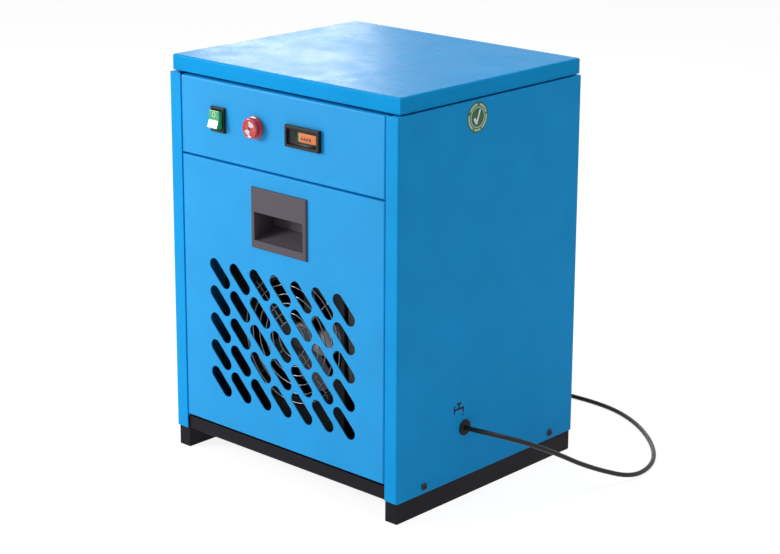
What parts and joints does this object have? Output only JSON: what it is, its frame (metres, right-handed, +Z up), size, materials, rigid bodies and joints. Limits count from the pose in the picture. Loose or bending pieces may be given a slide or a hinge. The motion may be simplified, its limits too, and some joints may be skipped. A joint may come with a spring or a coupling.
{
  "type": "refrigerated air dryer",
  "caption": "Small floor-standing refrigerated compressed-air dryer: blue steel cabinet with slotted lift-off front panel, rocker switch, lamp, dew-point indicator, rear air ports, drain hose",
  "frame": {"origin": "on the ground under the middle of the cabinet", "axes": "X to the right seen from the front, Y from the front panel to the back, Z up"},
  "size_m": [0.5178, 0.5049, 0.522],
  "materials": {
    "base_black": "semi-gloss black powder coat",
    "blue_side": "fine-texture blue powder coat",
    "blue_cover": "fine-texture blue powder coat, satin",
    "blue_front": "fine-texture light blue powder coat",
    "black_rubber": "moulded rubber, matt",
    "black_plastic": "fine-grained black plastic",
    "grey_plastic": "textured dark grey plastic",
    "black_screw": "blackened steel",
    "zinc_steel": "zinc-plated steel",
    "green_rocker": "translucent green, glossy",
    "red_lens": "translucent red, glossy",
    "orange_scale": "printed scale plate",
    "clear_window": "clear moulded window",
    "fin_aluminium": "thin rolled fins",
    "galvanised_sheet": "galvanised sheet",
    "copper": "drawn copper tube, slightly dulled",
    "dark_sheet": "dark grey painted sheet",
    "bright_wire": "bright plated wire",
    "motor_black": "black painted motor can",
    "fan_aluminium": "pressed aluminium blades",
    "compressor_black": "gloss black enamel",
    "brass": "machined brass",
    "black_foam": "closed-cell insulating foam with a smooth skin",
    "red_lever": "red moulded plastic",
    "white_knob": "off-white moulded plastic",
    "black_hose": "smooth black tube, slightly glossy"
  },
  "bodies": {
    "cabinet": {"left_runner": "base_black", "right_runner": "base_black", "base_pan": "base_black", "left_side_panel": "blue_side", "right_side_panel": "blue_side", "rear_panel": "blue_side", "top_cover": "blue_cover", "cover_seal": "black_rubber", "front_posts": "blue_side", "control_panel": "blue_front", "panel_catches": "black_plastic", "side_screws": "black_screw", "rear_screws": "black_screw", "base_bolts": "zinc_steel", "switch_housing": "black_plastic", "lamp_housing": "black_plastic", "lamp_lens": "red_lens", "indicator_case": "black_plastic", "indicator_scale": "orange_scale", "indicator_window": "clear_window", "condenser_fins": "fin_aluminium", "condenser_plates": "galvanised_sheet", "condenser_tubes": "copper", "fan_shroud": "dark_sheet", "fan_guard": "bright_wire", "motor_bracket": "galvanised_sheet", "fan_motor": "motor_black", "compressor_shell": "compressor_black", "compressor_grommets": "black_rubber", "terminal_cover": "black_plastic", "discharge_line": "copper", "bypass_valve": "brass", "liquid_line": "copper", "filter_dryer": "copper", "capillary_tube": "copper", "suction_line": "copper", "exchanger_foam": "black_foam", "exchanger_stand": "galvanised_sheet", "air_inlet_port": "brass", "air_outlet_port": "brass", "port_nuts": "brass", "air_pipes": "copper", "drain_strainer": "brass", "drain_valve": "brass", "drain_coil": "black_plastic", "drain_timer": "black_plastic", "drain_grommet": "black_rubber", "hose_lead": "black_hose", "cable_gland": "black_plastic", "drain_hose": "black_hose", "drain_hose_coil": "black_hose", "hose_tie": "black_rubber"},
    "front_door": {"front_panel": "blue_front", "handle_cup": "grey_plastic"},
    "rocker": {"switch_rocker": "green_rocker"},
    "fan": {"fan_blades": "fan_aluminium"},
    "lever": {"strainer_lever": "red_lever"},
    "on_knob": {"on_time_knob": "white_knob"},
    "off_knob": {"off_time_knob": "white_knob"},
    "button": {"test_button": "red_lever"}
  },
  "joints": [
    {"name": "front_panel_pull", "type": "slide", "parent": "cabinet", "child": "front_door", "axis": [0, -1, 0], "range_m": [0, 0.12]},
    {"name": "switch_rocker_tilt", "type": "hinge", "parent": "cabinet", "child": "rocker", "pos_m": [-0.105, -0.171, 0.4517], "axis": [1, 0, 0], "range_deg": [0, 20]},
    {"name": "fan_spin", "type": "hinge", "parent": "cabinet", "child": "fan", "pos_m": [-0.03, -0.099, 0.17], "axis": [0, 1, 0], "continuous": true},
    {"name": "strainer_lever_turn", "type": "hinge", "parent": "cabinet", "child": "lever", "pos_m": [0.14, -0.014, 0.1088], "axis": [0, 0, -1], "range_deg": [0, 90]},
    {"name": "on_time_turn", "type": "hinge", "parent": "cabinet", "child": "on_knob", "pos_m": [0.128, -0.15, 0.0985], "axis": [0, 1, 0], "range_deg": [0, 270]},
    {"name": "off_time_turn", "type": "hinge", "parent": "cabinet", "child": "off_knob", "pos_m": [0.152, -0.15, 0.0985], "axis": [0, 1, 0], "range_deg": [0, 270]},
    {"name": "test_button_press", "type": "slide", "parent": "cabinet", "child": "button", "axis": [0, 1, 0], "range_m": [0, 0.002], "stiffness_N_per_m": 400}
  ]
}
